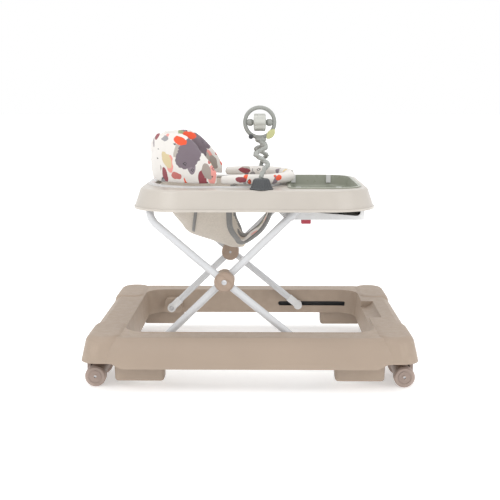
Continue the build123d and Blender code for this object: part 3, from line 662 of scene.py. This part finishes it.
bands = []
for side, label in ((-1, "right"), (1, "left")):
    # Rear and lower edge of the leg hole, on the pouch's side.
    loop = []
    edge_points = [Vector((x, 0, z)) for x, z in LEG_HOLE]
    for point in smooth_path(edge_points, 10):
        y = side_y(point.x, point.z)
        if y is None or y < STRAP:
            break
        loop.append(Vector((point.x, side * y, point.z)))
    # Front edge, up the side of the strap.
    z = loop[-1].z + 3
    while z < HOLE_TOP:
        loop.append(Vector((front_x(STRAP, z), side * STRAP, z)))
        z += 6
    # Across the top, under the tray.
    for k in range(9):
        x = front_x(STRAP, HOLE_TOP) + (-44 - front_x(STRAP, HOLE_TOP)) * (k + 0.5) / 9
        y = side_y(x, HOLE_TOP)
        loop.append(Vector((x, side * max(y or STRAP, STRAP), HOLE_TOP)))
    for _ in range(3):
        loop = [(loop[i - 1] + loop[i] * 2 + loop[(i + 1) % len(loop)]) / 4
                for i in range(len(loop))]
    middle = Vector((-20, 0, 340))
    outward = [(p - middle).normalized() for p in loop]
    leg_band = band(f"leg_binding_{label}", loop, outward, 13, 4.6, closed=True)
    # Grey tape over the seam between the rear and side panels.
    seam = []
    for k in range(16):
        z = POUCH_TOP - 4 - k * 6.2
        x = -110 - k * 1.1
        y = side_y(x, z)
        if y is None:
            break
        seam.append(Vector((x, side * y, z)))
    tape = band(f"seam_tape_{label}", seam, [Vector((-0.35, side, -0.2)).normalized()] * len(seam),
                7, 2.6)
    bands += [leg_band, tape]


# -------------------------------------------------------------- the toy
CUP_LOW, CUP_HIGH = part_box("toy_cup_right")
CUP = [(CUP_LOW[i] + CUP_HIGH[i]) / 2 / MM for i in range(2)]
CUP_BASE = CUP_LOW[2] / MM
CUP_TOP = CUP_HIGH[2] / MM
for side, label in ((1, "right"), (-1, "left")):
    rows = []
    for z, radius, ribs in ((0, 24.6, 0), (0, 25, 0), (2.2, 25, 0), (3.0, 24, 0.2), (3.6, 22.6, 1),
                            (12, 19.2, 1), (20, 16.6, 1), (21.2, 15.8, 0.4), (22.4, 14.6, 0),
                            (23, 13, 0), (23, 4, 0)):
        rows.append([Vector((CUP[0] + r * math.cos(a), side * CUP[1] + r * math.sin(a),
                             CUP_BASE + z)) * MM
                     for a, r in ((2 * math.pi * k / 144,
                                   radius + 0.55 * ribs * math.cos(24 * 2 * math.pi * k / 144))
                                  for k in range(144))])
    cup = mesh_piece(f"toy_cup_ribbed_{label}", rows, "charcoal", "tray")
    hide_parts(f"toy_cup_{label}")
    # Wavy stem with a twisted rib.
    route = [Vector((CUP[0], side * CUP[1], CUP_TOP - 1)), Vector((CUP[0], side * CUP[1], CUP_TOP + 7)),
             Vector((31, -side * 174, 454)), Vector((37.5, -side * 161, 462)),
             Vector((26, -side * 137, 471)), Vector((10.5, -side * 109, 480)),
             Vector((22, -side * 80, 487)), Vector((33.5, -side * 57, 492.5)),
             Vector((27, -side * 36, 499)), Vector((22, -side * 19, 503))]
    route = [Vector((p.x, -abs(p.y) * side, p.z)) * MM for p in route]
    fine = smooth_path(route, 22)
    rows = tube_rows(fine, lambda i, a: 0.0046 + 0.0008 * math.cos(3 * a + i * 0.42), 18)
    stem = mesh_piece(f"toy_stem_twisted_{label}", rows, "toy_grey", "tray")
    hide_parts(f"toy_stem_{label}")

LOW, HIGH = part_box("toy_hoop")
TOY = Vector(((LOW[0] + HIGH[0]) / 2, 0, HIGH[2] - (HIGH[0] - LOW[0]) / 2)) / MM
HOOP = 33.6
ring = [(TOY + Vector((math.cos(a), 0, math.sin(a))) * HOOP) * MM
        for a in (2 * math.pi * k / 192 for k in range(192))]
hoop = mesh_piece("toy_hoop_ring",
                  tube_rows(ring, lambda i, a: 0.0046, 20, closed=True), "toy_grey", "tray",
                  close_rows=True)
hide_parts("toy_hoop")

# Ball at each side of the drum, with a shallow groove round it.
for label in ("front", "rear"):
    LOW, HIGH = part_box(f"toy_bead_{label}")
    middle = (LOW + HIGH) / 2
    rows = []
    for k in range(25):
        t = math.pi * (k + 0.25) / 24.5
        radius = 0.0086 * (1 - 0.06 * math.exp(-((t - math.pi / 2) / 0.16) ** 2))
        rows.append([middle + Vector((radius * math.cos(t), radius * math.sin(t) * math.cos(a),
                                      radius * math.sin(t) * math.sin(a)))
                     for a in (2 * math.pi * j / 32 for j in range(32))])
    bead = mesh_piece(f"toy_ball_{label}", rows, "toy_grey", f"bead_{label}")
    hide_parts(f"toy_bead_{label}")

# Saddle under the hoop, where the stems meet.
rows = []
for z, scale in ((500.4, 0.55), (501.5, 0.8), (505, 1.0), (509, 1.0), (512, 0.8), (513.6, 0.5)):
    rows.append([Vector((22 + 13 * scale * math.copysign(abs(math.cos(a)) ** 0.6, math.cos(a)),
                         20 * scale * math.copysign(abs(math.sin(a)) ** 0.6, math.sin(a)), z)) * MM
                 for a in (2 * math.pi * k / 40 for k in range(40))])
saddle = mesh_piece("toy_saddle", rows, "toy_grey", "tray")
soften(saddle)

# Tumbling drum: eight rounded flutes along its axis, and soft ends.
rows = []
for k in range(41):
    t = k / 40
    end = min(1.0, 0.7 + 4 * min(t, 1 - t))
    rows.append([(TOY + Vector((-14.2 + 28.4 * t, r * math.cos(a), r * math.sin(a)))) * MM
                 for a, r in ((2 * math.pi * j / 96, 18.8 * end * (1 + 0.05 * math.cos(
                     8 * 2 * math.pi * j / 96))) for j in range(96))])
drum = mesh_piece("toy_drum_ribbed", rows, "toy_white", "drum")
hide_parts("toy_drum")

# A pointed leaf in front of the hoop and a dark pebble behind it.
rows = []
for k in range(25):
    t = k / 24
    wide = 8.2 * math.sin(math.pi * t) ** 0.7 + 0.15
    along = Vector((0.62, 0, 0.78)) * (t - 0.5) * 28
    across = Vector((0.78, 0, -0.62))
    rows.append([(Vector((45, -6, 520)) + along + across * wide * math.cos(a)
                  + Vector((0, 1, 0)) * 1.5 * math.sin(a) * (0.5 + 0.5 * abs(math.cos(a)))) * MM
                 for a in (2 * math.pi * j / 16 for j in range(16))])
leaf = mesh_piece("toy_leaf_pointed", rows, "toy_leaf", "tray")
soften(leaf)
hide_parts("toy_leaves")
rows = []
for k in range(13):
    t = math.pi * (k + 0.35) / 12.7
    rows.append([(Vector((0, -6, 514)) + Vector((5.5 * math.sin(t) * math.cos(a),
                                                   2.2 * math.sin(t) * math.sin(a),
                                                   -5.5 * math.cos(t)))) * MM
                 for a in (2 * math.pi * j / 20 for j in range(20))])
pebble = mesh_piece("toy_pebble", rows, "charcoal", "tray")

# Return spring of the latch: a wire coil over the button.
LOW, HIGH = (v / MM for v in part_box("latch_spring"))
COIL = (LOW + HIGH) / 2
wire = [Vector((COIL.x + 3.4 * math.cos(a), COIL.y + 3.4 * math.sin(a),
                LOW.z + 0.6 + (HIGH.z - LOW.z - 1.2) * a / (9 * math.pi))) * MM
        for a in (9 * math.pi * k / 180 for k in range(181))]
spring = mesh_piece("latch_spring_coil", tube_rows(wire, lambda i, a: 0.0006, 10), "steel", "latch")
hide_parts("latch_spring")
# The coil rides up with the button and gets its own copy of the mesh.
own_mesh(spring)

# ------------------------------------------------- stage, light, camera
bpy.ops.mesh.primitive_plane_add(size=60, location=(0, 0, -0.0005))
floor = bpy.context.object
floor.name = "floor"
pale = Shader("pale_floor", Roughness=0.9, Emission_Color=(1.0, 1.0, 1.0, 1.0),
              Emission_Strength=0.35)
pale.link(pale.mix(pale.span(pale.noise(0.8), 0.0, 1.0), (0.90, 0.90, 0.90, 1), (0.93, 0.93, 0.93, 1)),
          pale.surface.inputs["Base Color"])
floor.data.materials.append(pale.material)

world = bpy.data.worlds.new("studio")
bpy.context.scene.world = world
world.use_nodes = True
world.node_tree.nodes["Background"].inputs[0].default_value = (1.0, 1.0, 1.0, 1)
world.node_tree.nodes["Background"].inputs[1].default_value = 1.0


def softbox(name, place, target, size, power):
    light = bpy.data.lights.new(name, "AREA")
    light.shape = "RECTANGLE"
    light.size, light.size_y = size
    light.energy = power
    lamp = bpy.data.objects.new(name, light)
    lamp.location = place
    lamp.rotation_euler = (Vector(target) - Vector(place)).to_track_quat("-Z", "Y").to_euler()
    bpy.context.scene.collection.objects.link(lamp)


softbox("key", (-1.4, -1.9, 2.2), (0, 0, 0.3), (1.6, 1.2), 18)
softbox("fill", (1.8, -1.6, 1.4), (0, 0, 0.3), (1.4, 1.4), 8)
softbox("top", (0, 0.6, 2.6), (0, 0, 0.3), (2.0, 1.6), 14)

camera = bpy.data.cameras.new("camera")
camera.sensor_width = 36
camera.lens = 67.428
eye = bpy.data.objects.new("camera", camera)
eye.location = (0.0234, -2.1506, 0.6016)
YAW = -0.0119
PITCH = -0.1613
look = Vector((math.sin(YAW) * math.cos(PITCH), math.cos(YAW) * math.cos(PITCH), math.sin(PITCH)))
eye.rotation_euler = look.to_track_quat("-Z", "Y").to_euler()
bpy.context.scene.collection.objects.link(eye)
bpy.context.scene.camera = eye
bpy.context.scene.view_settings.view_transform = "Standard"
